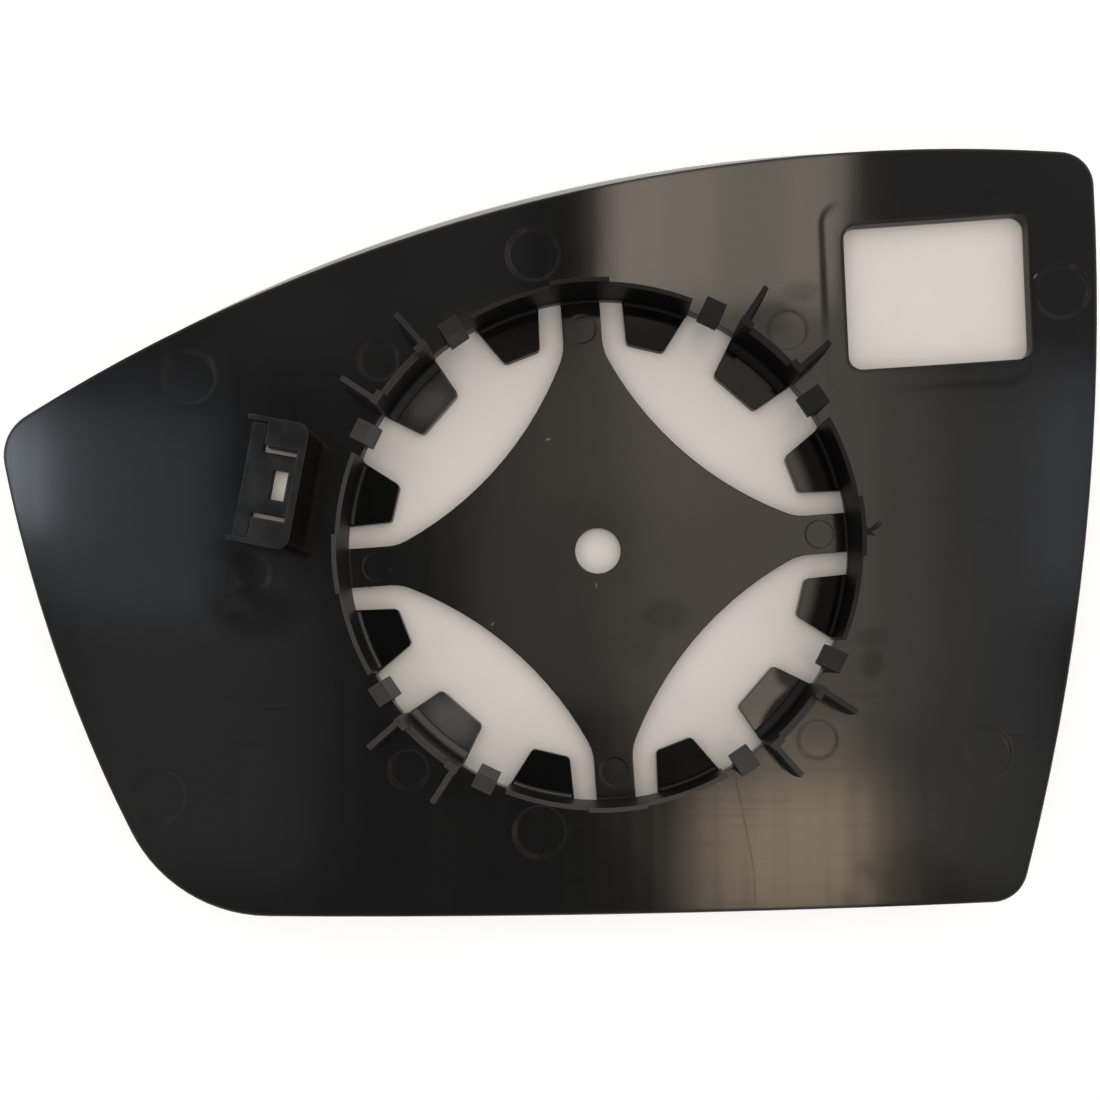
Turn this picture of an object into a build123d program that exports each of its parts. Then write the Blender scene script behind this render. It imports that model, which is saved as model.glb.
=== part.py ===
"""Car door mirror glass, seen from its back: convex glass, adhesive pad and moulded backing plate.

Plate, clip ring and terminal hood are one moulding. They are kept as three pieces that meet face to
face, because each of them has a simple shape of its own.

Millimetres. The origin is the centre hole of the hub, on the hub's upper face. +Z points away from
the mirror face, along the axis of the clip ring, and +X along the long side of the glass.
"""
import os

from build123d import *

# Layers, from the mirror face up
MIRROR_RADIUS = 1400.0  # radius of the convex mirror face
GLASS_THICKNESS = 2.0
PAD_THICKNESS = 0.8
PLATE_THICKNESS = 2.2
HUB_THICKNESS = 1.5  # hub star, spokes and feet

# Outline of the backing plate: where four large discs overlap, with rounded corners. Each edge has
# the bearing from the ring axis at which it comes nearest, its reach there and its radius
LEFT_EDGE_BEARING = 204.0
LEFT_EDGE_REACH = 91.9
LEFT_EDGE_RADIUS = 233.2
TOP_EDGE_BEARING = 104.8
TOP_EDGE_REACH = 60.5
TOP_EDGE_RADIUS = 276.4
RIGHT_EDGE_BEARING = -7.5
RIGHT_EDGE_REACH = 82.0
RIGHT_EDGE_RADIUS = 350.0
LOW_EDGE_BEARING = -89.0
LOW_EDGE_REACH = 62.3
LOW_EDGE_RADIUS = 1630.0
LEFT_CORNER_ROUND = 8.1
LOW_LEFT_CORNER_ROUND = 26.3
LOW_RIGHT_CORNER_ROUND = 6.3
TOP_CORNER_ROUND = 6.1
PLATE_EDGE_BEVEL = 0.25

# The glass stands a little over the plate, most along its top edge, and the pad stays inside it
GLASS_OVERHANG = 0.6
GLASS_TOP_OVERHANG = 2.1
GLASS_TOP_EDGE_RADIUS = 254.0
GLASS_EDGE_BEVEL = 0.35
PAD_INSET = 1.0

# Clip ring that snaps on the mirror's motor; heights are over the hub's face at the ring
RING_CLOCK = 4.2  # turn of the whole ring about its axis
RING_RADIUS = 42.8
RING_WALL = 0.75
RING_RIM = 0.9  # from the ring's inside out to the edge of the plate where no wall stands
RING_WALL_HEIGHT = 7.2
RING_WALL_HALF_ANGLE = 25.0
TOOTH_HEIGHT = 9.2
TOOTH_HALF_ANGLE = 6.4
CENTRE_HOLE_RADIUS = 3.95

# Hub star with four spokes
SPOKE_WIDTH = 6.7
HUB_ARC_RADIUS = 60.0  # hollow side of the star between two spokes
HUB_WAIST = 22.55  # from the axis to the middle of a hollow side
SPOKE_BLEND = 8.0

# Feet that reach inwards from the ring
FOOT_REACH = 7.0
FOOT_ROUND = 0.9
SIDE_FOOT_ANGLE = 17.2  # either side of each spoke
SIDE_FOOT_TIP = 6.5
SIDE_FOOT_ROOT = 11.4
SIDE_HOLLOW = 0.8  # radius of the hollow rounding from foot to wall
SIDE_HOLLOW_HALF_ANGLE = 7.0
DIAGONAL_FOOT_TIP = 9.3
DIAGONAL_FOOT_ROOT = 13.0
DIAGONAL_HOLLOW = 1.9
DIAGONAL_HOLLOW_HALF_ANGLE = 8.2

# Diagonal walls, each between two blades
DIAGONAL_WALL = 1.2
DIAGONAL_WALL_HEIGHT = 7.2
DIAGONAL_WALL_HALF_ANGLE = 8.7
DIAGONAL_END_ANGLE = 3.0
BLADE_INSET_ANGLE = 0.85  # from the end of its wall to a blade's middle
BLADE_HEIGHT = 9.2
BLADE_REACH = 7.2  # outwards from the ring's inside, at its upper edge
BLADE_SLOPE = 1.4  # the lower edge reaches this much further
BLADE_THICKNESS = 0.9

# Barbs that hold the motor's disc down
BARB_ANGLE = 30.0  # either side of each spoke
BARB_WIDTH = 3.5
BARB_HEIGHT = 7.9
BARB_REACH = 2.1  # inwards past the ring's inside
BARB_LEAD_IN = 1.3
BARB_LIP = 0.9
BARB_UNDERCUT = 1.5
BARB_SETBACK = 0.3  # post, outwards from the ring's inside
BARB_POST = 1.5

# Hood over a white block for two flat electric terminals; two towers rise at its ends
HOOD_ANGLE = 169.3
HOOD_NEAR = 49.6  # from the axis to the side that faces the ring
HOOD_DEPTH = 10.2
HOOD_LENGTH = 20.8
HOOD_HEIGHT = 9.4
HOOD_WALL = 1.3
HOOD_END_WALL = 0.8
HOOD_ROOF = 1.2
HOOD_STEP = 2.5  # from the tops of the towers down to the roof between them
HOOD_ROUND = 1.9
TOWER_DEPTH = 6.8
TOWER_LENGTH = 4.4
SLOT_WIDTH = 0.75
SLOT_GAP = 0.2  # between slot and tower
SLOT_START = 0.6  # from the hood's near wall
SLOT_LEG = 3.4
HOOD_HOLE_REACH = 4.15  # from the hood's near side to the middle of the hole
HOOD_HOLE_DEPTH = 2.5
HOOD_HOLE_LENGTH = 4.9
BLOCK_CLEARANCE = 0.15

# Window in a shallow recess with softly sloping sides
WINDOW_CENTRE = (57.7, 43.75)
WINDOW_TILT = 3.1
WINDOW_WIDTH = 30.8
WINDOW_HEIGHT = 24.5
WINDOW_ROUND = 2.4
RECESS_DEPTH = 0.15
RECESS_MARGIN = 4.9
RECESS_RIGHT_MARGIN = 0.5
RECESS_SLOPE = 2.3  # width of its sloping sides
RECESS_ROUND = 4.6

# Round marks that the mould's ejector pins leave
MARK_DEPTH = 0.1
LARGE_MARK_RADIUS = 4.4
LARGE_MARKS = [(-69.5, 29.2), (-11.1, 50.5), (78.3, 43.5), (65.6, -34.5), (-74.4, -41.9), (-9.9, -48.2)]
SMALL_MARK_RADIUS = 3.3
DIAGONAL_MARK_OFFSET = 6.8  # outwards from the ring's inside
HOOD_MARK = (-59.4, -4.1)
SPOKE_MARK_RADIUS = 2.4
SPOKE_MARK_OFFSET = 4.6  # inwards from the ring's inside

# Heights of the layers on the ring axis
PLATE_UNDER = -HUB_THICKNESS
PLATE_UPPER = PLATE_UNDER + PLATE_THICKNESS
PAD_UNDER = PLATE_UNDER - PAD_THICKNESS
FACE = PAD_UNDER - GLASS_THICKNESS
BELOW_ALL = FACE - GLASS_THICKNESS
DISH_ROOM = 30.0
SHEET_ROOM = 150.0
DISH_CENTRE = Vector(0, 0, FACE + MIRROR_RADIUS)  # middle of the balls that all layers follow

SPOKES = [RING_CLOCK + 90 * n for n in range(4)]
DIAGONALS = [angle + 45 for angle in SPOKES]
SIDES = (-1, 1)
SIDE_FEET = [angle + side * SIDE_FOOT_ANGLE for angle in SPOKES for side in SIDES]
RING_OUTER = RING_RADIUS + DIAGONAL_WALL


def rise(radius):
    """Height that the dish gains from the axis out to a radius."""
    return radius**2 / (2 * MIRROR_RADIUS)


SEAT = rise(RING_RADIUS)  # the hub's face at the ring
WALL_ROOT = SEAT - HUB_THICKNESS / 2


def ball(height, mode):
    """Ball concentric with the mirror face, with its lowest point at this height on the axis."""
    with Locations(DISH_CENTRE):
        Sphere(DISH_CENTRE.Z - height, rotation=(90, 0, 0), mode=mode)


def dished_sheet(plan, low, high):
    """Sheet with this plan, between two balls concentric with the mirror face."""
    extrude(Plane.XY.offset(BELOW_ALL) * plan, amount=DISH_ROOM)
    ball(low, Mode.INTERSECT)
    ball(high, Mode.SUBTRACT)


def disc(bearing, reach, radius):
    """Large disc whose edge passes the ring axis at this reach, on this bearing."""
    with Locations(Rotation(0, 0, bearing) * Location((reach - radius, 0), 180)):
        Circle(radius, mode=Mode.INTERSECT)


def outline(growth, top_growth, top_edge_radius):
    """Outline of the mirror, moved outwards by growth, with its own growth along the top."""
    with BuildSketch() as plan:
        Rectangle(2 * SHEET_ROOM, 2 * SHEET_ROOM)
        disc(LEFT_EDGE_BEARING, LEFT_EDGE_REACH + growth, LEFT_EDGE_RADIUS + growth)
        disc(TOP_EDGE_BEARING, TOP_EDGE_REACH + top_growth, top_edge_radius)
        disc(RIGHT_EDGE_BEARING, RIGHT_EDGE_REACH + growth, RIGHT_EDGE_RADIUS + growth)
        disc(LOW_EDGE_BEARING, LOW_EDGE_REACH + growth, LOW_EDGE_RADIUS + growth)
        corners = [(v.X, v.Y) for v in plan.vertices().sort_by(Axis.X)]
        rounds = (LEFT_CORNER_ROUND, LOW_LEFT_CORNER_ROUND, LOW_RIGHT_CORNER_ROUND, TOP_CORNER_ROUND)
        for corner, rounding in zip(corners, rounds, strict=True):
            fillet(plan.vertices().sort_by_distance(corner)[0], rounding + growth)
    return plan.sketch


def ring_sector(inner, outer, middle, half_angle):
    """Face of a stretch of ring about the axis."""
    with BuildLine() as border:
        near = CenterArc((0, 0), inner, middle - half_angle, 2 * half_angle)
        far = CenterArc((0, 0), outer, middle - half_angle, 2 * half_angle)
        Line(near @ 0, far @ 0)
        Line(near @ 1, far @ 1)
    make_face(border.edges())


def wall(middles, half_angle, thickness, top):
    """Stretches of ring wall that stand in the plate, up to a height over the seat."""
    with BuildSketch(Plane.XY.offset(WALL_ROOT)) as plan:
        for middle in middles:
            ring_sector(RING_RADIUS, RING_RADIUS + thickness, middle, half_angle)
    extrude(plan.sketch, amount=SEAT + top - WALL_ROOT)


def radial_plane(angle):
    """Plane through the axis: its x runs outwards at this angle and its y runs up."""
    return Plane.XZ.rotated((0, 0, angle))


def hollow(middle, half_angle, rounding, thickness):
    """Hollow rounding from a foot up a wall of this thickness, filled to the middle of the wall."""
    start = RING_RADIUS - rounding
    top = rise(start) + rounding
    behind = RING_RADIUS + thickness / 2
    with BuildSketch(radial_plane(middle - half_angle)) as profile:
        with BuildLine():
            bend = RadiusArc((start, rise(start)), (RING_RADIUS, top), -rounding)
            Polyline(bend @ 1, (behind, top), (behind, WALL_ROOT), (start, WALL_ROOT), bend @ 0)
        make_face()
    revolve(profile.sketch, axis=Axis.Z, revolution_arc=2 * half_angle)


def foot(angle, tip, root):
    """Plan of a foot that tapers inwards from the ring, with rounded tip corners."""
    tip_radius = RING_RADIUS - FOOT_REACH
    with BuildSketch(mode=Mode.PRIVATE) as plan:
        with BuildLine():
            Polyline(
                (RING_OUTER, -root / 2),
                (RING_RADIUS, -root / 2),
                (tip_radius, -tip / 2),
                (tip_radius, tip / 2),
                (RING_RADIUS, root / 2),
                (RING_OUTER, root / 2),
                close=True,
            )
        make_face()
        fillet(plan.vertices().group_by(Axis.X)[0], FOOT_ROUND)
    add(plan.sketch, rotation=angle)


def mark(place, radius, height):
    """Cutter for a flat mark, square to the dished face that has this height on the axis."""
    inwards = (DISH_CENTRE - place - Vector(0, 0, height + rise(place.length))).normalized()
    floor = DISH_CENTRE - inwards * (DISH_CENTRE.Z - height + MARK_DEPTH)
    with BuildSketch(Plane(floor, z_dir=inwards)) as plan:
        Circle(radius)
    extrude(plan.sketch, amount=PLATE_THICKNESS)


def hub_plan():
    """Plan of the star, its spokes and all the feet."""
    with BuildSketch() as plan:
        Circle(RING_RADIUS)
        for angle in DIAGONALS:
            with Locations(Rotation(0, 0, angle)):
                with Locations((HUB_WAIST + HUB_ARC_RADIUS, 0)):
                    Circle(HUB_ARC_RADIUS, mode=Mode.SUBTRACT)
        for angle in SPOKES:
            with Locations(Rotation(0, 0, angle)):
                with Locations((RING_OUTER / 2, 0)):
                    Rectangle(RING_OUTER, SPOKE_WIDTH)
        bends = plan.vertices().filter_by(
            lambda v: HUB_WAIST < Vector(v.X, v.Y).length < RING_RADIUS - SPOKE_WIDTH / 2
        )
        fillet(bends, SPOKE_BLEND)
        for angle in SIDE_FEET:
            foot(angle, SIDE_FOOT_TIP, SIDE_FOOT_ROOT)
        for angle in DIAGONALS:
            foot(angle, DIAGONAL_FOOT_TIP, DIAGONAL_FOOT_ROOT)
        Circle(CENTRE_HOLE_RADIUS, mode=Mode.SUBTRACT)
    return plan.sketch


# Convex glass with a fine ground bevel along its back edge
with BuildPart() as mirror_glass:
    glass_plan = outline(GLASS_OVERHANG, GLASS_TOP_OVERHANG, GLASS_TOP_EDGE_RADIUS)
    dished_sheet(glass_plan, FACE, PAD_UNDER)
    glass_back = mirror_glass.faces().filter_by(GeomType.SPHERE).sort_by(Axis.Z)[-1]
    chamfer(glass_back.outer_wire().edges(), GLASS_EDGE_BEVEL)

# White adhesive pad between glass and plate
with BuildPart() as adhesive_pad:
    pad_plan = outline(-PAD_INSET, -PAD_INSET, TOP_EDGE_RADIUS - PAD_INSET)
    dished_sheet(pad_plan, PAD_UNDER, PLATE_UNDER)

# Cutter for the recess round the window; its slopes run on as far again, up out of the plate
with BuildSketch() as recess_plan:
    with Locations(Location(WINDOW_CENTRE, WINDOW_TILT)):
        with Locations(((RECESS_RIGHT_MARGIN - RECESS_MARGIN) / 2, 0)):
            RectangleRounded(
                WINDOW_WIDTH + RECESS_MARGIN + RECESS_RIGHT_MARGIN + 2 * RECESS_SLOPE,
                WINDOW_HEIGHT + 2 * RECESS_MARGIN + 2 * RECESS_SLOPE,
                RECESS_ROUND + RECESS_SLOPE,
            )

with BuildPart() as recess:
    dished_sheet(recess_plan.sketch, PLATE_UPPER - RECESS_DEPTH, PLATE_UPPER + PLATE_THICKNESS)
    recess_floor = recess.faces().filter_by(GeomType.SPHERE).sort_by(Axis.Z)[0]
    chamfer(recess_floor.outer_wire().edges(), 2 * RECESS_SLOPE, 2 * RECESS_DEPTH, reference=recess_floor)

# Cutter for the ejector marks in the plate and in the spokes
with BuildPart() as marks:
    for place in LARGE_MARKS:
        mark(Vector(*place), LARGE_MARK_RADIUS, PLATE_UPPER)
    mark(Vector(*HOOD_MARK), SMALL_MARK_RADIUS, PLATE_UPPER)
    for angle in DIAGONALS:
        place = Vector(RING_RADIUS + DIAGONAL_MARK_OFFSET, 0).rotate(Axis.Z, angle)
        mark(place, SMALL_MARK_RADIUS, PLATE_UPPER)
    for angle in SPOKES:
        place = Vector(RING_RADIUS - SPOKE_MARK_OFFSET, 0).rotate(Axis.Z, angle)
        mark(place, SPOKE_MARK_RADIUS, 0)

# Cutter that thins the hub, spokes and feet
with BuildPart() as hub_space:
    with BuildSketch(Plane.XY.offset(BELOW_ALL)):
        Circle(RING_RADIUS)
    extrude(amount=DISH_ROOM)
    ball(0, Mode.INTERSECT)

# Room of the clip ring, over the plate and over the thinner hub
with BuildPart() as ring_space:
    with BuildSketch(Plane.XY.offset(BELOW_ALL)):
        Circle(RING_OUTER + BLADE_REACH + BLADE_SLOPE)
    extrude(amount=DISH_ROOM)
    ball(PLATE_UPPER, Mode.INTERSECT)
    add(hub_space.part)

# Backing plate with the hub star
with BuildSketch() as plate_plan:
    add(outline(0, 0, TOP_EDGE_RADIUS))
    Circle(RING_RADIUS + RING_RIM, mode=Mode.SUBTRACT)
    for angle in SPOKES:
        ring_sector(RING_RADIUS + RING_WALL / 2, RING_OUTER, angle, RING_WALL_HALF_ANGLE)
    add(hub_plan())

with BuildPart() as backing_plate:
    dished_sheet(plate_plan.sketch, PLATE_UNDER, PLATE_UPPER)
    plate_top = backing_plate.faces().filter_by(GeomType.SPHERE).sort_by(Axis.Z)[-1]
    chamfer(plate_top.outer_wire().edges(), PLATE_EDGE_BEVEL)
    add(hub_space.part, mode=Mode.SUBTRACT)
    add(recess.part, mode=Mode.SUBTRACT)
    add(marks.part, mode=Mode.SUBTRACT)

    # Window through the plate
    with BuildSketch(Plane.XY.offset(BELOW_ALL)):
        with Locations(Location(WINDOW_CENTRE, WINDOW_TILT)):
            RectangleRounded(WINDOW_WIDTH, WINDOW_HEIGHT, WINDOW_ROUND)
    extrude(amount=DISH_ROOM, mode=Mode.SUBTRACT)

    # Opening under the hood
    hood_plane = Plane.XY.rotated((0, 0, HOOD_ANGLE))
    hood_middle = HOOD_NEAR + HOOD_DEPTH / 2
    hood_hollow = (HOOD_DEPTH - 2 * HOOD_WALL, HOOD_LENGTH - 2 * HOOD_WALL)
    with BuildSketch(hood_plane.offset(BELOW_ALL)):
        with Locations((hood_middle, 0)):
            Rectangle(*hood_hollow)
    extrude(amount=DISH_ROOM, mode=Mode.SUBTRACT)

# Clip ring, standing on the plate
with BuildPart() as clip_ring:
    # Ring walls with a tooth at each spoke, and diagonal walls with full-height ends
    wall(SPOKES, RING_WALL_HALF_ANGLE, RING_WALL, RING_WALL_HEIGHT)
    wall(SPOKES, TOOTH_HALF_ANGLE, RING_WALL, TOOTH_HEIGHT)
    wall(DIAGONALS, DIAGONAL_WALL_HALF_ANGLE, DIAGONAL_WALL, DIAGONAL_WALL_HEIGHT)
    end_middle = DIAGONAL_WALL_HALF_ANGLE - DIAGONAL_END_ANGLE / 2
    diagonal_ends = [angle + side * end_middle for angle in DIAGONALS for side in SIDES]
    wall(diagonal_ends, DIAGONAL_END_ANGLE / 2, DIAGONAL_WALL, BLADE_HEIGHT)

    # Hollow roundings from the feet up to their walls
    for angle in SIDE_FEET:
        hollow(angle, SIDE_HOLLOW_HALF_ANGLE, SIDE_HOLLOW, RING_WALL)
    for angle in DIAGONALS:
        hollow(angle, DIAGONAL_HOLLOW_HALF_ANGLE, DIAGONAL_HOLLOW, DIAGONAL_WALL)

    # Blades, fins that run outwards beside each diagonal wall
    wall_middle = RING_RADIUS + DIAGONAL_WALL / 2
    blade_top = SEAT + BLADE_HEIGHT
    blade_angle = DIAGONAL_WALL_HALF_ANGLE - BLADE_INSET_ANGLE
    for angle in DIAGONALS:
        for side in SIDES:
            with BuildSketch(radial_plane(angle + side * blade_angle)):
                with BuildLine():
                    Polyline(
                        (wall_middle, WALL_ROOT),
                        (RING_RADIUS + BLADE_REACH + BLADE_SLOPE, WALL_ROOT),
                        (RING_RADIUS + BLADE_REACH, blade_top),
                        (wall_middle, blade_top),
                        close=True,
                    )
                make_face()
            extrude(amount=BLADE_THICKNESS / 2, both=True)

    # Barbs: posts with a hooked head, bevelled where the motor's disc pushes past
    barb_top = SEAT + BARB_HEIGHT
    barb_tip = RING_RADIUS - BARB_REACH
    barb_inside = RING_RADIUS + BARB_SETBACK
    barb_outside = barb_inside + BARB_POST
    for angle in SPOKES:
        for side in SIDES:
            with BuildSketch(radial_plane(angle + side * BARB_ANGLE)):
                with BuildLine():
                    Polyline(
                        (barb_outside, WALL_ROOT),
                        (barb_outside, barb_top),
                        (barb_tip + BARB_LEAD_IN, barb_top),
                        (barb_tip, barb_top - BARB_LEAD_IN),
                        (barb_tip, barb_top - BARB_LEAD_IN - BARB_LIP),
                        (barb_inside, barb_top - BARB_LEAD_IN - BARB_LIP - BARB_UNDERCUT),
                        (barb_inside, WALL_ROOT),
                        close=True,
                    )
                make_face()
            extrude(amount=BARB_WIDTH / 2, both=True)

    add(ring_space.part, mode=Mode.INTERSECT)

# Hood over the opening, standing on the plate
hood_top = SEAT + HOOD_HEIGHT
hood_roof = hood_top - HOOD_STEP
hood_root = PLATE_UNDER + PLATE_THICKNESS / 2 + rise(hood_middle)
tower_start = HOOD_LENGTH / 2 - TOWER_LENGTH
with BuildPart() as terminal_hood:
    with BuildSketch(hood_plane.offset(hood_root)) as hood_plan:
        with Locations((hood_middle, 0)):
            Rectangle(HOOD_DEPTH, HOOD_LENGTH)
        fillet(hood_plan.vertices().group_by(Axis.X)[0], HOOD_ROUND)
    extrude(amount=hood_top - hood_root)
    with BuildSketch(hood_plane.offset(hood_root)):
        with Locations((hood_middle, 0)):
            Rectangle(*hood_hollow)
    extrude(amount=hood_roof - HOOD_ROOF - hood_root, mode=Mode.SUBTRACT)

    # Step down between the towers
    with BuildSketch(hood_plane.offset(hood_top)):
        with Locations((hood_middle + HOOD_WALL / 2, 0)):
            Rectangle(HOOD_DEPTH - HOOD_WALL, HOOD_LENGTH - 2 * HOOD_END_WALL)
        with Locations((HOOD_NEAR + TOWER_DEPTH / 2, 0)):
            with Locations((0, tower_start + TOWER_LENGTH / 2), (0, -tower_start - TOWER_LENGTH / 2)):
                Rectangle(TOWER_DEPTH, TOWER_LENGTH, mode=Mode.SUBTRACT)
    extrude(amount=-HOOD_STEP, mode=Mode.SUBTRACT)

    # Middle hole, and an angled slot round the foot of each tower
    slot_from = HOOD_NEAR + HOOD_WALL + SLOT_START
    slot_to = HOOD_NEAR + TOWER_DEPTH + SLOT_GAP + SLOT_WIDTH
    slot_line = tower_start - SLOT_GAP - SLOT_WIDTH / 2
    with BuildSketch(hood_plane.offset(hood_roof)):
        with Locations((HOOD_NEAR + HOOD_HOLE_REACH, 0)):
            Rectangle(HOOD_HOLE_DEPTH, HOOD_HOLE_LENGTH)
        for side in SIDES:
            with Locations(((slot_from + slot_to) / 2, side * slot_line)):
                Rectangle(slot_to - slot_from, SLOT_WIDTH)
            with Locations((slot_to - SLOT_WIDTH / 2, side * (slot_line + SLOT_LEG / 2))):
                Rectangle(SLOT_WIDTH, SLOT_LEG)
    extrude(amount=-HOOD_ROOF, mode=Mode.SUBTRACT)
    ball(PLATE_UPPER, Mode.INTERSECT)

# White block inside the hood, seen through its slots
with BuildPart() as terminal_block:
    with BuildSketch(hood_plane.offset(BELOW_ALL)):
        with Locations((hood_middle, 0)):
            Rectangle(hood_hollow[0] - 2 * BLOCK_CLEARANCE, hood_hollow[1] - 2 * BLOCK_CLEARANCE)
    extrude(amount=hood_roof - HOOD_ROOF - BLOCK_CLEARANCE - BELOW_ALL)
    ball(PLATE_UNDER, Mode.INTERSECT)

os.makedirs("parts", exist_ok=True)
mirror_glass.part.label = "mirror_glass"
export_step(mirror_glass.part, "parts/mirror_glass.step")
adhesive_pad.part.label = "adhesive_pad"
export_step(adhesive_pad.part, "parts/adhesive_pad.step")
backing_plate.part.label = "backing_plate"
export_step(backing_plate.part, "parts/backing_plate.step")
clip_ring.part.label = "clip_ring"
export_step(clip_ring.part, "parts/clip_ring.step")
terminal_hood.part.label = "terminal_hood"
export_step(terminal_hood.part, "parts/terminal_hood.step")
terminal_block.part.label = "terminal_block"
export_step(terminal_block.part, "parts/terminal_block.step")
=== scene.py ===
from math import cos, pi, radians, sin
from types import SimpleNamespace

import bpy
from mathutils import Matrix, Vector


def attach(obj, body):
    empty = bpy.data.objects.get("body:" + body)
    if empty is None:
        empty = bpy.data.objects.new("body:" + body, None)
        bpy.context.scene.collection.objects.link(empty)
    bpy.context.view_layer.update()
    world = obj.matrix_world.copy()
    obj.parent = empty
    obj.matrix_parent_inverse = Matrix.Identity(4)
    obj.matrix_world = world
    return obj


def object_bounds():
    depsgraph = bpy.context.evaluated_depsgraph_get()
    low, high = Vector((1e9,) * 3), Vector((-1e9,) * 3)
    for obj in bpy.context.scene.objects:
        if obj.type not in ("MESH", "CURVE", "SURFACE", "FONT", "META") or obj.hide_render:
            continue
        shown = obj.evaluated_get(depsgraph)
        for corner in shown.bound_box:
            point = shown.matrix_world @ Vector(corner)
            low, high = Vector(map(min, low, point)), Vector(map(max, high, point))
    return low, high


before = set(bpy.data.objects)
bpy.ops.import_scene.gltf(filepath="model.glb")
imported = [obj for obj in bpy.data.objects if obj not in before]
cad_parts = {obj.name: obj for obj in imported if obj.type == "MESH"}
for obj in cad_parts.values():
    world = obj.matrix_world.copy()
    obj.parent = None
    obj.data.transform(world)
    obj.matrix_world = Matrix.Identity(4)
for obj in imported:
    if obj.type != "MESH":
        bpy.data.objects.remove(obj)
cad_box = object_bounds()
scene = bpy.context.scene
scene.view_settings.view_transform = "Standard"

# Places on the part are in millimetres and angles in degrees, unless a heading says metres
MM = 0.001


# Shader nodes
def node(tree, kind, inputs=None, **settings):
    """Make a shader node; an input is a number, a colour or another node's output."""
    made = tree.nodes.new(kind)
    for key, value in settings.items():
        setattr(made, key, value)
    for key, value in (inputs or {}).items():
        if isinstance(value, bpy.types.NodeSocket):
            tree.links.new(value, made.inputs[key])
        else:
            made.inputs[key].default_value = value
    return made


def join(tree, operation, one, two=0.0):
    """Math node on two numbers or outputs."""
    return node(tree, "ShaderNodeMath", {0: one, 1: two}, operation=operation).outputs[0]


def times(tree, one, two):
    """Product of two numbers or outputs."""
    return join(tree, "MULTIPLY", one, two)


def ramp(tree, value, low, high, start=0.0, end=1.0):
    """Smooth change from start to end while the value goes from low to high."""
    inputs = {"Value": value, "From Min": low, "From Max": high, "To Min": start, "To Max": end}
    return node(tree, "ShaderNodeMapRange", inputs, interpolation_type="SMOOTHSTEP").outputs[0]


def scaled(tree, amount, mask, factor):
    """Amount, multiplied by the factor where the mask is one."""
    return times(tree, amount, ramp(tree, mask, 0.0, 1.0, 1.0, factor))


def between(tree, share, one, two):
    """Number between two numbers or outputs."""
    return node(tree, "ShaderNodeMix", {0: share, 2: one, 3: two}).outputs[0]


def blend(tree, share, one, two):
    """Colour between two colours."""
    return node(tree, "ShaderNodeMix", {0: share, 6: one, 7: two}, data_type="RGBA").outputs[2]


def vectors(tree, operation, one, two=(0.0, 0.0, 0.0)):
    """Vector from a vector math node on two vectors or outputs."""
    return node(tree, "ShaderNodeVectorMath", {0: one, 1: two}, operation=operation).outputs[0]


def measure(tree, operation, one, two=(0.0, 0.0, 0.0)):
    """Number from a vector math node, such as a length or a dot product."""
    return node(tree, "ShaderNodeVectorMath", {0: one, 1: two}, operation=operation).outputs["Value"]


def axes(tree, vector):
    """The three parts of a vector."""
    return node(tree, "ShaderNodeSeparateXYZ", {0: vector}).outputs


def facing(tree):
    """The surface's own direction."""
    return node(tree, "ShaderNodeTexCoord").outputs["Normal"]


def flattened(tree, place):
    """A place without its height."""
    return vectors(tree, "MULTIPLY", place, (1.0, 1.0, 0.0))


def noise(tree, place, scale, detail):
    """Noise with so many lumps to the metre."""
    inputs = {"Vector": place, "Scale": scale, "Detail": detail}
    return node(tree, "ShaderNodeTexNoise", inputs).outputs["Fac"]


def streaks(tree, place, scales, detail):
    """Noise with its own scale along each axis."""
    drawn = node(tree, "ShaderNodeMapping", {"Vector": place, "Scale": scales}).outputs[0]
    return noise(tree, drawn, 1.0, detail)


def laid(tree, place, centre, reach, turn):
    """A place on the plate, from a centre, turned, and in shares of the reach; height hardly counts."""
    return node(tree, "ShaderNodeMapping", {
        "Vector": place,
        "Location": (centre[0] * MM, centre[1] * MM, 0),
        "Rotation": (0, 0, radians(turn)),
        "Scale": (reach[0] * MM, reach[1] * MM, 1 / MM),
    }, vector_type="TEXTURE").outputs[0]


def spot(tree, place, centre, reach, softness, turn=0.0):
    """One inside an ellipse on the plate, nought outside it."""
    away = measure(tree, "LENGTH", laid(tree, place, centre, reach, turn))
    return ramp(tree, away, 1 - softness, 1 + softness, 1.0, 0.0)


def new_material(name):
    """Material with its tree, its shader and its object coordinates."""
    mat = bpy.data.materials.new(name)
    mat.use_nodes = True
    tree = mat.node_tree
    return mat, tree, tree.nodes["Principled BSDF"], node(tree, "ShaderNodeTexCoord").outputs["Object"]


def feed(tree, shader, **sockets):
    """Link outputs to the shader's sockets of these names."""
    for key, value in sockets.items():
        tree.links.new(value, shader.inputs[key.replace("_", " ")])


def dress(name, mat):
    """Give a node of the frame its material."""
    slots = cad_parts[name].data.materials
    slots.clear()
    slots.append(mat)


def place_object(name, data):
    """Object in the scene with this mesh, light or camera."""
    made = bpy.data.objects.new(name, data)
    scene.collection.objects.link(made)
    return made


# Camera, straight over the part, as the photograph was taken: metres, and the sensor in millimetres
CAMERA_PLACE = (-0.00327, -0.01668, 0.1667)
CAMERA_LENS = 31.6
CAMERA_SENSOR = 36.0
CAMERA_SHIFT = (-0.0264, 0.0885)
CAMERA_CLIP_START = 0.01

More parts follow.
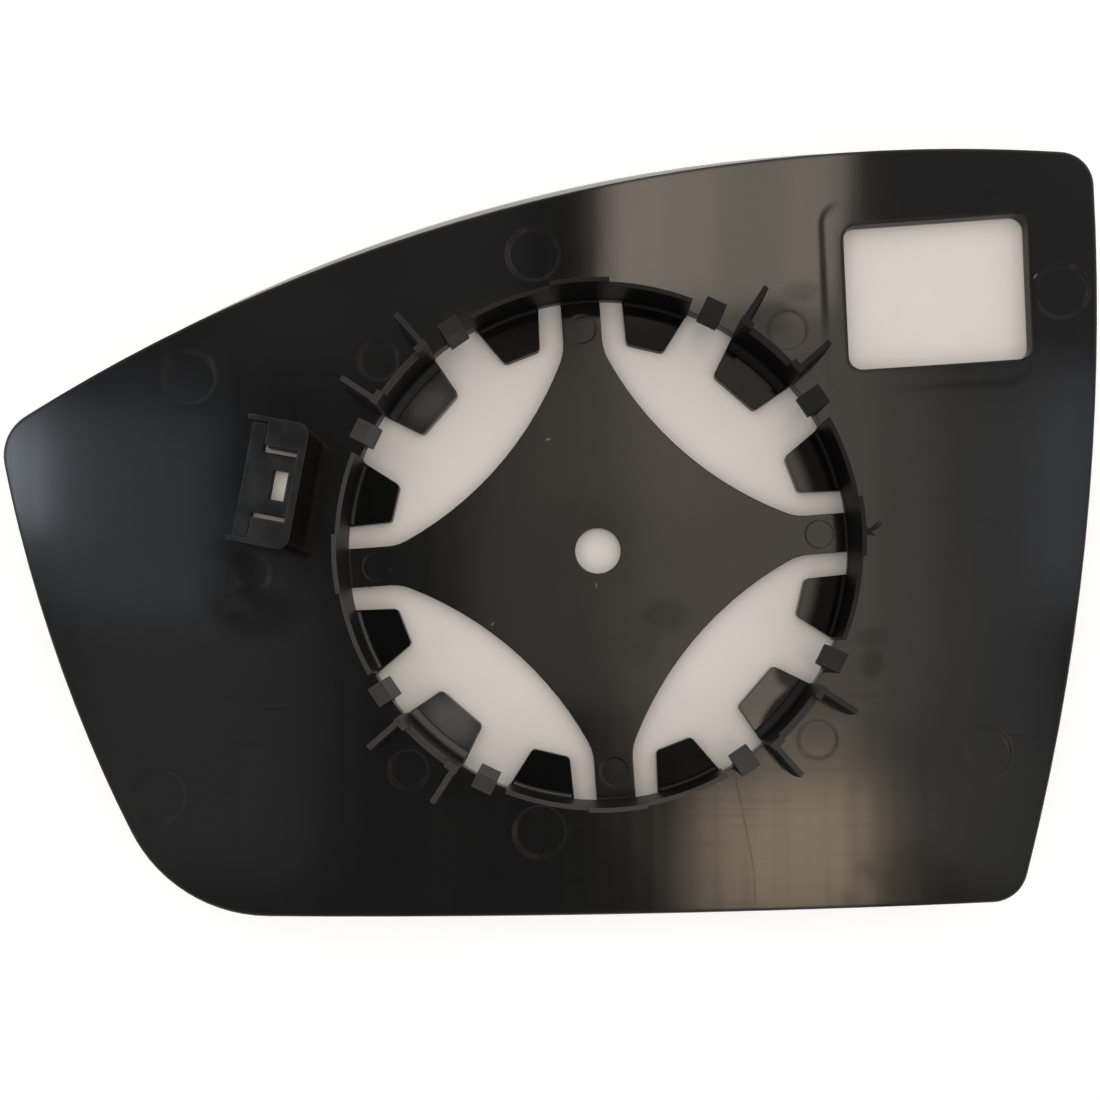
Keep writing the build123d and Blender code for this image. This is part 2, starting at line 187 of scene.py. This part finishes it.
camera = place_object("camera", bpy.data.cameras.new("camera"))
camera.location = CAMERA_PLACE
camera.data.lens = CAMERA_LENS
camera.data.sensor_width = CAMERA_SENSOR
camera.data.shift_x, camera.data.shift_y = CAMERA_SHIFT
camera.data.clip_start = CAMERA_CLIP_START
scene.camera = camera

# Middle part of the range of a noise
MIDDLE = (0.3, 0.7)

# Black plastic: scale and detail of each noise, the part of it that shows, and what it changes
CLOUDS = (45.0, 4.0)
GRAIN = (2600.0, 2.0)
GRAIN_STRENGTH = 0.05
GRAIN_DEPTH = 0.00002
STREAKS = ((420.0, 14.0, 60.0), 3.0)
STREAK_ROUGHNESS = (0.35, 0.75, 0.0, 0.03)
SCRAPES = ((90.0, 900.0, 300.0), 5.0)
SCRAPE_RANGE = (0.62, 0.80)
SCRAPE_SHARE = 0.8
BLACKS = ((0.0030, 0.0030, 0.0032, 1), (0.0046, 0.0045, 0.0045, 1))
BEVEL_SAMPLES = 6


def black_plastic(name, roughness, shine, rounding):
    """Black moulded plastic with fine scrapes; gives its nodes and its outputs so far."""
    mat, tree, shader, place = new_material(name)
    cloud = noise(tree, place, *CLOUDS)
    base = blend(tree, ramp(tree, cloud, *MIDDLE), *BLACKS)
    streaked = ramp(tree, streaks(tree, place, *STREAKS), *STREAK_ROUGHNESS)
    rough = join(tree, "ADD", ramp(tree, cloud, *MIDDLE, *roughness), streaked)
    shine = ramp(tree, streaks(tree, place, *SCRAPES), *SCRAPE_RANGE, shine, SCRAPE_SHARE * shine)
    bevel = node(tree, "ShaderNodeBevel", {"Radius": rounding}, samples=BEVEL_SAMPLES)
    bump = node(tree, "ShaderNodeBump", {
        "Height": noise(tree, place, *GRAIN),
        "Strength": GRAIN_STRENGTH,
        "Distance": GRAIN_DEPTH,
        "Normal": bevel.outputs[0],
    })
    feed(tree, shader, Base_Color=base, Roughness=rough, Specular_IOR_Level=shine, Normal=bump.outputs[0])
    return SimpleNamespace(mat=mat, tree=tree, shader=shader, place=place, base=base, rough=rough,
                           shine=shine, bevel=bevel, bump=bump)


# Plate: glossy, smoother at the far side and more rounded outside the ring, in metres
PLATE_ROUGHNESS = (0.10, 0.13)
PLATE_SHINE = 0.5
INNER_ROUNDING = 0.0003
OUTER_ROUNDING = 0.0008
ROUNDING_RANGE = (0.0445, 0.0475)
FAR_ROUGHNESS = (0.030, 0.050, 1.0, 0.6)

plate = black_plastic("black_plate", PLATE_ROUGHNESS, PLATE_SHINE, INNER_ROUNDING)
tree = plate.tree
place = plate.place
shine = plate.shine
x, y, _ = axes(tree, place)
away = measure(tree, "LENGTH", flattened(tree, place))
rounding = ramp(tree, away, *ROUNDING_RANGE, INNER_ROUNDING, OUTER_ROUNDING)
tree.links.new(rounding, plate.bevel.inputs["Radius"])
rough = times(tree, plate.rough, ramp(tree, y, *FAR_ROUGHNESS))

# Middle of the ball that the plate follows, in metres
DISH_CENTRE = (0.0, 0.0, 1.3957)

# Middle line of the slopes of the window's recess
RECESS_MIDDLE = (55.5, 43.63)
RECESS_HALF = (16.95, 16.0)
RECESS_CORNER = 3.45
RECESS_TURN = 3.1

# Share of the tilt that is left, by the distance from that line, and how far up a level face looks
SLOPE_TILT = (0.0, 1.25, 0.26, 0.0)
PAST_SLOPES = (1.5, 2.0)
LEVEL_FACE = 0.9


def recess_line(tree, place):
    """Distance from the middle line of the recess's slopes."""
    moved = laid(tree, place, RECESS_MIDDLE, (1, 1), RECESS_TURN)
    straight = (RECESS_HALF[0] - RECESS_CORNER, RECESS_HALF[1] - RECESS_CORNER, 0)
    past = vectors(tree, "MAXIMUM", vectors(tree, "SUBTRACT", vectors(tree, "ABSOLUTE", moved), straight))
    return join(tree, "ABSOLUTE", join(tree, "SUBTRACT", measure(tree, "LENGTH", past), RECESS_CORNER))


# The recess's slopes are soft: most of their tilt is taken out, and all of it along their edges
dish = vectors(tree, "NORMALIZE", vectors(tree, "SUBTRACT", DISH_CENTRE, place))
line = recess_line(tree, place)
tilt = join(tree, "ADD", ramp(tree, line, *SLOPE_TILT), ramp(tree, line, *PAST_SLOPES))
tilt = join(tree, "MAXIMUM", tilt, join(tree, "LESS_THAN", axes(tree, facing(tree))[2], LEVEL_FACE))
softened = node(tree, "ShaderNodeMix", {0: tilt, 4: dish, 5: plate.bevel.outputs[0]}, data_type="VECTOR")
tree.links.new(vectors(tree, "NORMALIZE", softened.outputs[1]), plate.bump.inputs["Normal"])

# Edges are a little duller than the faces: shine by how much the rounding turns the surface
EDGE_SHINE = (0.96, 0.999, 0.55, 1.0)

even = measure(tree, "DOT_PRODUCT", plate.bevel.outputs[0], facing(tree))
shine = times(tree, shine, ramp(tree, even, *EDGE_SHINE))

# Feet: angles from the middle of the nearest spoke, and distances from the ring's axis in metres
SPOKE_TURN = 4.2
HALF_QUARTER = radians(45)
SIDE_FOOT_START = 8.5
SIDE_FOOT_END = 27
DIAGONAL_FOOT_START = 32
DIAGONAL_FOOT_INSIDE = 0.0345
FEET_OUTSIDE = 0.0430

# Where the feet beside the spokes turn matt, and the shine of both kinds of feet, along x or x + y in metres
MATT_START = (0.028, 0.032, 0.0353, 0.0383)
MATT_CHANGE = (-0.0016, 0.0008)
SIDE_FOOT_SHINE = (-0.01, 0.03, 0.24, 0.09)
DIAGONAL_FOOT_SHINE = (0.010, 0.045, 1.75, 0.40)

# Dark corners of the lower right diagonal foot: middle, reach, softness, turn and share of shine
DARK_CORNERS = [
    ((32.0, -27.6), (2.4, 6.0), 0.3, -41, 0.15),
    ((33.4, -21.3), (3.2, 2.6), 0.5, -41, 0.25),
]

turn = join(tree, "SUBTRACT", join(tree, "ARCTAN2", y, x), radians(SPOKE_TURN))
turn = node(tree, "ShaderNodeMath", {0: turn, 1: HALF_QUARTER, 2: -HALF_QUARTER}, operation="WRAP").outputs[0]
turn = join(tree, "ABSOLUTE", turn)
in_ring = join(tree, "LESS_THAN", away, FEET_OUTSIDE)

# Feet beside the spokes are matt near the wall
side_start = join(tree, "GREATER_THAN", turn, radians(SIDE_FOOT_START))
side_end = join(tree, "LESS_THAN", turn, radians(SIDE_FOOT_END))
matt = ramp(tree, join(tree, "SUBTRACT", away, ramp(tree, x, *MATT_START)), *MATT_CHANGE)
side_foot = times(tree, times(tree, side_start, side_end), times(tree, matt, in_ring))
shine = times(tree, shine, between(tree, side_foot, 1.0, ramp(tree, x, *SIDE_FOOT_SHINE)))

# Diagonal feet differ in gloss
diagonal_foot = times(tree, join(tree, "GREATER_THAN", turn, radians(DIAGONAL_FOOT_START)), in_ring)
diagonal_foot = times(tree, diagonal_foot, join(tree, "GREATER_THAN", away, DIAGONAL_FOOT_INSIDE))
foot_shine = ramp(tree, join(tree, "ADD", x, y), *DIAGONAL_FOOT_SHINE)
shine = times(tree, shine, between(tree, diagonal_foot, 1.0, foot_shine))
for centre, reach, softness, angle, share in DARK_CORNERS:
    corner = times(tree, spot(tree, place, centre, reach, softness, angle), diagonal_foot)
    shine = scaled(tree, shine, corner, share)

# Smudges and dull spots on the plate: middle, reach, turn, and how dull
DULL_SPOTS = [
    ((-62.5, -5.5), (4.5, 7.0), 0, 0.50),
    ((-57.5, -11.0), (7.0, 4.0), 0, 0.40),
    ((46.8, -19.5), (2.0, 2.6), 0, 0.30),
    ((46.8, -14.9), (3.0, 1.6), 0, 0.22),
    ((11.5, -11.4), (4.0, 3.2), 0, 0.26),
    ((7.2, -15.3), (3.4, 4.4), 0, 0.20),
    ((29.6, 39.7), (4.0, 3.0), 0, 0.30),
    ((34.9, 44.0), (3.4, 1.6), 0, 0.25),
    ((45.4, -55.2), (1.8, 2.4), 0, 0.35),
    ((42.0, -59.2), (2.4, 1.4), 0, 0.40),
    ((54.0, -58.5), (8.0, 10.0), -22, 0.32),
]
DULL_SOFTNESS = 0.6
PATCHES = (120.0, 3.0)
PATCH_RANGE = (0.2, 0.6)

patchy = ramp(tree, noise(tree, place, *PATCHES), *PATCH_RANGE)
for centre, reach, angle, dullness in DULL_SPOTS:
    blot = times(tree, spot(tree, place, centre, reach, DULL_SOFTNESS, angle), patchy)
    shine = scaled(tree, shine, blot, 1.0 - dullness)

# Fine streaks across the lower right: scales and detail, the part that shows, middle, reach and softness
RIPPLES = ((30.0, 1500.0, 60.0), 3.0)
RIPPLE_RANGE = (0.45, 0.65)
RIPPLE_FIELD = ((31, -50), (24, 18), 0.4)
RIPPLE_SHARE = 0.91

ripple = ramp(tree, streaks(tree, place, *RIPPLES), *RIPPLE_RANGE)
shine = scaled(tree, shine, times(tree, spot(tree, place, *RIPPLE_FIELD), ripple), RIPPLE_SHARE)

# Curved scratch in four short stretches: middle, half length and turn
SCRATCH = [
    ((24.0, -41.5), 2.8, 12.0),
    ((25.1, -46.9), 3.0, 12.0),
    ((26.2, -52.7), 3.2, 9.5),
    ((26.7, -58.3), 2.7, 1.5),
]
SCRATCH_HALF_WIDTH = 0.16
SCRATCH_SOFTNESS = 0.5
SCRATCH_SHARE = 0.74

for centre, half_length, angle in SCRATCH:
    groove = spot(tree, place, centre, (SCRATCH_HALF_WIDTH, half_length), SCRATCH_SOFTNESS, angle)
    shine = scaled(tree, shine, groove, SCRATCH_SHARE)

# Painted sheen on two diagonal feet, paler in colour and glossier there: middle, reach, turn, how pale, and
# how much glossier
SHEEN_SPOTS = [
    ((-25.6, -29.5), (4.6, 3.2), -41, 0.060, 2.0),
    ((-29.2, 25.1), (3.4, 2.2), 49, 0.034, 1.6),
]
SHEEN_SOFTNESS = 0.7
SHEEN_BLUE = 0.96

base = plate.base
for centre, reach, angle, paleness, gloss in SHEEN_SPOTS:
    sheen_spot = times(tree, spot(tree, place, centre, reach, SHEEN_SOFTNESS, angle), diagonal_foot)
    shine = scaled(tree, shine, sheen_spot, gloss)
    # The paler colour here is painted sheen, not a mark on the plastic
    base = blend(tree, sheen_spot, base, (paleness, paleness, SHEEN_BLUE * paleness, 1))

# Tiny pale nicks: middle, reach and turn
NICKS = [
    ((-8.6, 19.2), (0.45, 0.16), 20),
    ((-0.3, -6.0), (0.12, 0.45), 0),
    ((-18.2, -12.7), (0.35, 0.14), 45),
    ((73.9, 46.1), (0.16, 0.45), -35),
]
NICK_SOFTNESS = 0.4
NICK_COLOUR = (0.12, 0.12, 0.12, 1)

for centre, reach, angle in NICKS:
    base = blend(tree, spot(tree, place, centre, reach, NICK_SOFTNESS, angle), base, NICK_COLOUR)
feed(tree, plate.shader, Base_Color=base, Roughness=rough, Specular_IOR_Level=shine)
dress("backing_plate", plate.mat)

# Ring: satin, matt on its inside and low down, glossier towards the lower left, in metres
RING_ROUGHNESS = (0.36, 0.44)
RING_SHINE = 0.5
RING_ROUNDING = 0.00022
INSIDE_SHINE = (-0.95, -0.72, 0.30, 1.0)
LOW_SHINE = (-0.05, -0.03, 1.0, 0.4)
LOW_HEIGHTS = (0.0020, 0.0032)
ACROSS_SHINE = (-0.05, 0.05, 1.75, 0.42)

ring = black_plastic("black_ring", RING_ROUGHNESS, RING_SHINE, RING_ROUNDING)
tree = ring.tree
x, y, z = axes(tree, ring.place)
outwards = vectors(tree, "NORMALIZE", flattened(tree, ring.place))
outward_share = measure(tree, "DOT_PRODUCT", facing(tree), outwards)
shine = times(tree, ring.shine, ramp(tree, outward_share, *INSIDE_SHINE))
across = join(tree, "ADD", x, y)
low = ramp(tree, across, *LOW_SHINE)
shine = times(tree, shine, between(tree, ramp(tree, z, *LOW_HEIGHTS), low, 1.0))
shine = times(tree, shine, ramp(tree, across, *ACROSS_SHINE))
feed(tree, ring.shader, Specular_IOR_Level=shine)
dress("clip_ring", ring.mat)

# Hood: satin and a little patchy, matt on the side that faces the ring
HOOD_ROUGHNESS = (0.26, 0.32)
HOOD_SHINE = 0.36
HOOD_ROUNDING = 0.0004
RING_SIDE_SHINE = (0.3, 0.7, 1.0, 0.15)
HOOD_PATCHES = (260.0, 3.0)
HOOD_PATCH_SHINE = (0.75, 1.3)

hood = black_plastic("black_hood", HOOD_ROUGHNESS, HOOD_SHINE, HOOD_ROUNDING)
tree = hood.tree
shine = times(tree, hood.shine, ramp(tree, axes(tree, facing(tree))[0], *RING_SIDE_SHINE))
shine = times(tree, shine, ramp(tree, noise(tree, hood.place, *HOOD_PATCHES), *MIDDLE, *HOOD_PATCH_SHINE))
feed(tree, hood.shader, Specular_IOR_Level=shine)
dress("terminal_hood", hood.mat)

# White sheet and white block: scale and detail of each noise, depth in metres, darker and paler white
SHEET_CLOUDS = (60.0, 3.0)
SHEET_GRAIN = (1800.0, 2.0)
SHEET_GRAIN_STRENGTH = 0.08
SHEET_GRAIN_DEPTH = 0.00003
PAD_WHITES = ((0.77, 0.722, 0.678, 1), (0.80, 0.752, 0.708, 1))
PAD_ROUGHNESS = 0.6
BLOCK_WHITES = ((0.78, 0.75, 0.70, 1), (0.82, 0.79, 0.75, 1))
BLOCK_ROUGHNESS = 0.45


def white_plastic(name, whites, roughness):
    """White plastic with faint cloudiness."""
    mat, tree, shader, place = new_material(name)
    cloud = ramp(tree, noise(tree, place, *SHEET_CLOUDS), *MIDDLE)
    bump = node(tree, "ShaderNodeBump", {
        "Height": noise(tree, place, *SHEET_GRAIN),
        "Strength": SHEET_GRAIN_STRENGTH,
        "Distance": SHEET_GRAIN_DEPTH,
    })
    shader.inputs["Roughness"].default_value = roughness
    feed(tree, shader, Base_Color=blend(tree, cloud, *whites), Normal=bump.outputs[0])
    return mat


dress("adhesive_pad", white_plastic("white_pad", PAD_WHITES, PAD_ROUGHNESS))
dress("terminal_block", white_plastic("white_plastic", BLOCK_WHITES, BLOCK_ROUGHNESS))

# Glass: mirror on the faces that look down, grey lacquer on the back and the ground edge
MIRROR_FACES = (-0.9, -0.8, 1.0, 0.0)
LACQUER_CLOUDS = (80.0, 3.0)
LACQUERS = ((0.50, 0.50, 0.49, 1), (0.58, 0.58, 0.57, 1))
SILVER = (0.86, 0.88, 0.88, 1)
LACQUER_ROUGHNESS = 0.35
MIRROR_ROUGHNESS = 0.03

glass, tree, shader, place = new_material("silvered_glass")
mirror = ramp(tree, axes(tree, facing(tree))[2], *MIRROR_FACES)
cloud = ramp(tree, noise(tree, place, *LACQUER_CLOUDS), *MIDDLE)
base = blend(tree, mirror, blend(tree, cloud, *LACQUERS), SILVER)
rough = ramp(tree, mirror, 0.0, 1.0, LACQUER_ROUGHNESS, MIRROR_ROUGHNESS)
feed(tree, shader, Base_Color=base, Metallic=mirror, Roughness=rough)
dress("mirror_glass", glass)

# Torn flash at the outer rim of the right tooth: points of each strand, and its half width there
FLASH = [
    [
        ((43.45, 2.5, 9.40), 0.36),
        ((44.3, 2.4, 9.55), 0.34),
        ((45.1, 2.8, 9.60), 0.24),
        ((46.0, 3.4, 9.45), 0.13),
    ],
    [
        ((43.45, 1.9, 9.35), 0.32),
        ((44.3, 1.9, 9.45), 0.30),
        ((44.9, 1.6, 9.30), 0.16),
    ],
    [
        ((44.4, 2.7, 9.50), 0.20),
        ((45.1, 3.4, 9.60), 0.16),
        ((45.7, 3.7, 9.50), 0.10),
    ],
]
FLASH_SIDES = 6
FLASH_FLATNESS = 0.6
UP = Vector((0, 0, 1))


def strand_points(strand):
    """Rings of points round a strand, square to its run."""
    last = len(strand) - 1
    points = []
    for step, (point, half_width) in enumerate(strand):
        ahead = Vector(strand[min(step + 1, last)][0]) - Vector(strand[max(step - 1, 0)][0])
        across = ahead.cross(UP).normalized()
        upright = FLASH_FLATNESS * across.cross(ahead).normalized()
        for side in range(FLASH_SIDES):
            angle = 2 * pi * side / FLASH_SIDES
            points.append((Vector(point) + half_width * (cos(angle) * across + sin(angle) * upright)) * MM)
    return points


def strand_faces(first, steps):
    """Sides and both ends of a strand whose points start at this number."""
    faces = []
    for step in range(steps - 1):
        low = first + step * FLASH_SIDES
        high = low + FLASH_SIDES
        for side in range(FLASH_SIDES):
            after = (side + 1) % FLASH_SIDES
            faces.append((low + side, low + after, high + after, high + side))
    end = first + (steps - 1) * FLASH_SIDES
    faces.append(tuple(first + side for side in reversed(range(FLASH_SIDES))))
    faces.append(tuple(end + side for side in range(FLASH_SIDES)))
    return faces


flash_points = []
flash_faces = []
for strand in FLASH:
    flash_faces += strand_faces(len(flash_points), len(strand))
    flash_points += strand_points(strand)
flash_mesh = bpy.data.meshes.new("flash")
flash_mesh.from_pydata(flash_points, [], flash_faces)
flash = place_object("flash", flash_mesh)
flash.data.materials.append(ring.mat)
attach(flash, "root")

# Floor under the part, in metres, with a glow that is seen directly and in reflections
FLOOR_HALF = 4.0
FLOOR_HEIGHT = cad_box[0].z
FLOOR_COLOUR = (0.85, 0.85, 0.85, 1)
FLOOR_ROUGHNESS = 0.9
FLOOR_GLOW = 0.36
FLOOR_CORNERS = [(-1, -1), (1, -1), (1, 1), (-1, 1)]

floor_points = [(FLOOR_HALF * side, FLOOR_HALF * end, FLOOR_HEIGHT) for side, end in FLOOR_CORNERS]
floor_mesh = bpy.data.meshes.new("floor")
floor_mesh.from_pydata(floor_points, [], [(0, 1, 2, 3)])
floor = place_object("floor", floor_mesh)
paper, tree, shader, _ = new_material("floor")
shader.inputs["Base Color"].default_value = FLOOR_COLOUR
shader.inputs["Roughness"].default_value = FLOOR_ROUGHNESS
shader.inputs["Emission Color"].default_value = (1, 1, 1, 1)
path = node(tree, "ShaderNodeLightPath").outputs
seen = join(tree, "MAXIMUM", path["Is Camera Ray"], path["Is Glossy Ray"])
seen = join(tree, "MAXIMUM", seen, path["Is Transmission Ray"])
tree.links.new(times(tree, seen, FLOOR_GLOW), shader.inputs["Emission Strength"])
floor.data.materials.append(paper)

# World: bright towards the horizon, dim overhead
WORLD_STRENGTH = (0.70, 0.93, 1.05, 0.15)
WORLD_COLOUR = (1.0, 0.995, 0.985, 1)

world = bpy.data.worlds.new("studio")
scene.world = world
world.use_nodes = True
tree = world.node_tree
background = tree.nodes["Background"]
upward = axes(tree, node(tree, "ShaderNodeTexCoord").outputs["Generated"])[2]
tree.links.new(ramp(tree, upward, *WORLD_STRENGTH), background.inputs["Strength"])
background.inputs["Color"].default_value = WORLD_COLOUR

# Softboxes about a metre up, each a little higher than the last, facing straight down
LAMP_HEIGHT = 1.0
LAMP_STEP = 0.004
WARM = (1.0, 0.85, 0.70)
BROWN = (1.0, 0.79, 0.56)
PLAIN = (1.0, 1.0, 1.0)
COOL = (0.78, 0.86, 1.0)

# Place and size in millimetres, radiance and colour
SOFTBOXES = [
    ("far_left_end", (26, 420), (14, 200), 3.0, WARM),
    ("far_left", (58, 420), (50, 200), 4.1, WARM),
    ("far_left_middle", (106, 420), (44, 200), 3.7, WARM),
    ("far_right_middle", (165, 415), (74, 190), 3.0, WARM),
    ("far_right", (226, 420), (48, 200), 3.5, WARM),
    ("near_left", (129, -193), (42, 145), 3.7, BROWN),
    ("near", (217, -193), (134, 145), 5.4, BROWN),
    ("near_upper", (217, -96), (100, 49), 2.2, BROWN),
    ("hub_upper", (40, 215), (200, 140), 0.24, WARM),
    ("upper_left", (-200, 380), (300, 200), 0.12, PLAIN),
    ("upper_right", (385, 385), (240, 190), 0.13, PLAIN),
    ("middle", (170, 100), (240, 440), 0.75, WARM),
    ("middle_wide", (115, 130), (460, 380), 0.62, WARM),
    ("right", (390, 20), (155, 510), 0.45, PLAIN),
    ("right_edge", (500, 160), (100, 220), 0.8, COOL),
    ("left_edge", (-575, 178), (120, 120), 5.0, COOL),
    ("left", (-440, 150), (180, 200), 0.65, COOL),
    ("left_low", (-380, -75), (240, 300), 0.28, PLAIN),
]

for number, (name, middle, size, radiance, colour) in enumerate(SOFTBOXES):
    lamp = bpy.data.lights.new(name, "AREA")
    lamp.shape = "RECTANGLE"
    lamp.size = size[0] * MM
    lamp.size_y = size[1] * MM
    lamp.energy = radiance * pi * lamp.size * lamp.size_y
    lamp.color = colour
    holder = place_object(name, lamp)
    holder.location = (middle[0] * MM, middle[1] * MM, LAMP_HEIGHT + LAMP_STEP * number)
